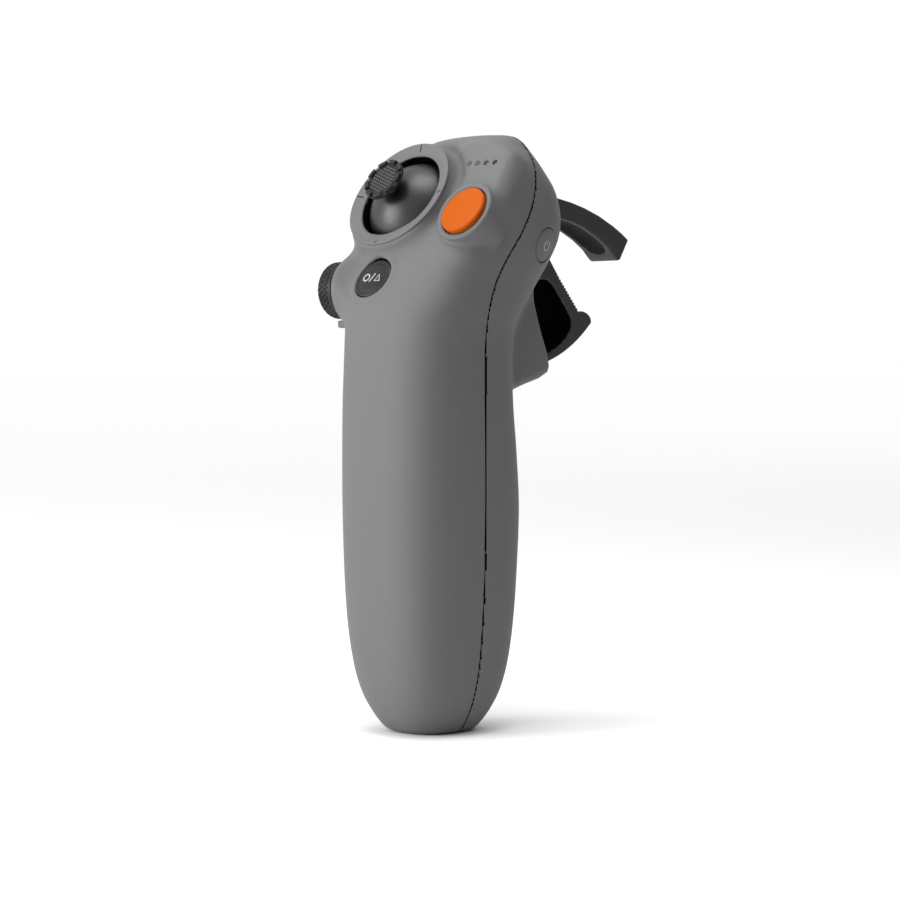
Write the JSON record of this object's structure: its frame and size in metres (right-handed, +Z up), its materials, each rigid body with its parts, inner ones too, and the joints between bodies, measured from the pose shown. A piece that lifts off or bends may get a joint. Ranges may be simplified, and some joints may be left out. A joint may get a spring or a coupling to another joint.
{
  "type": "radio transmitter controller",
  "caption": "One-hand radio transmitter controller: pistol grip with thumb stick, lock and mode buttons, side dial and a two-way index-finger rocker.",
  "frame": {"origin": "centre of the flat base of the grip", "axes": "+Z up along the grip, +X to the user's right, +Y away from the user towards the finger rocker"},
  "size_m": [0.0516, 0.0906, 0.1506],
  "materials": {
    "shell": "fine spark-eroded mid-grey plastic",
    "bezel": "smooth grey plastic ring",
    "gloss_black": "satin black dome",
    "black": "moulded dark grey to black plastic",
    "black_inner": "black glass-filled plastic",
    "orange": "matt orange plastic",
    "steel": "plain",
    "clear": "diffusing light pipe",
    "board": "solder-mask green board",
    "cell_wrap": "shrink sleeve",
    "white_plastic": "natural nylon"
  },
  "bodies": {
    "housing": {"front_shell": "shell", "rear_shell": "shell", "stick_bezel": "bezel", "stick_base": "black_inner", "lock_switch": "steel", "mode_switch": "steel", "power_switch": "steel", "led_light_pipe": "clear", "control_board": "board", "dial_encoder": "black_inner", "trigger_pin": "steel", "trigger_bracket": "black_inner", "trigger_sensor_board": "board", "battery_cell": "cell_wrap", "battery_cradle": "black_inner", "main_board": "board", "radio_shield": "steel", "antenna_board": "board", "usb_c_socket": "steel", "usb_c_tongue": "black_inner", "lanyard_pin": "steel", "buzzer": "black_inner", "battery_connector": "white_plastic", "board_screws": "steel", "bracket_screws": "steel"},
    "stick_yoke_body": {"stick_yoke": "steel"},
    "stick_body": {"stick_shaft": "steel", "stick_dome": "gloss_black", "stick_cap": "black"},
    "lock": {"lock_button": "orange"},
    "mode": {"mode_button": "black"},
    "power": {"power_button": "shell"},
    "dial": {"dial_wheel": "black", "dial_axle": "steel"},
    "rocker": {"trigger_lever": "black", "trigger_web": "black_inner", "reverse_horn": "black", "trigger_spring": "steel", "trigger_magnet": "steel"}
  },
  "joints": [
    {"name": "stick_pitch", "type": "hinge", "parent": "housing", "child": "stick_yoke_body", "pos_m": [-0.008, 0.00583, 0.12901], "axis": [1, 0, 0], "range_deg": [-18, 18], "stiffness_Nm_per_rad": 0.06},
    {"name": "stick_roll", "type": "hinge", "parent": "stick_yoke_body", "child": "stick_body", "pos_m": [-0.008, 0.00583, 0.12901], "axis": [0, 0.5446, 0.8387], "range_deg": [-18, 18], "stiffness_Nm_per_rad": 0.06},
    {"name": "lock_press", "type": "slide", "parent": "housing", "child": "lock", "axis": [0, 0.8387, -0.5446], "range_m": [0, 0.0008], "stiffness_N_per_m": 1500},
    {"name": "mode_press", "type": "slide", "parent": "housing", "child": "mode", "axis": [0, 0.8387, -0.5446], "range_m": [0, 0.0008], "stiffness_N_per_m": 1500},
    {"name": "power_press", "type": "slide", "parent": "housing", "child": "power", "axis": [-0.9393, -0.3052, 0.1564], "range_m": [0, 0.0005], "stiffness_N_per_m": 2500},
    {"name": "dial_turn", "type": "hinge", "parent": "housing", "child": "dial", "pos_m": [-0.022, -0.007, 0.111], "axis": [1, 0, 0], "continuous": true},
    {"name": "rocker_turn", "type": "hinge", "parent": "housing", "child": "rocker", "pos_m": [0, 0.025, 0.1315], "axis": [1, 0, 0], "range_deg": [-14, 8], "stiffness_Nm_per_rad": 0.4}
  ]
}
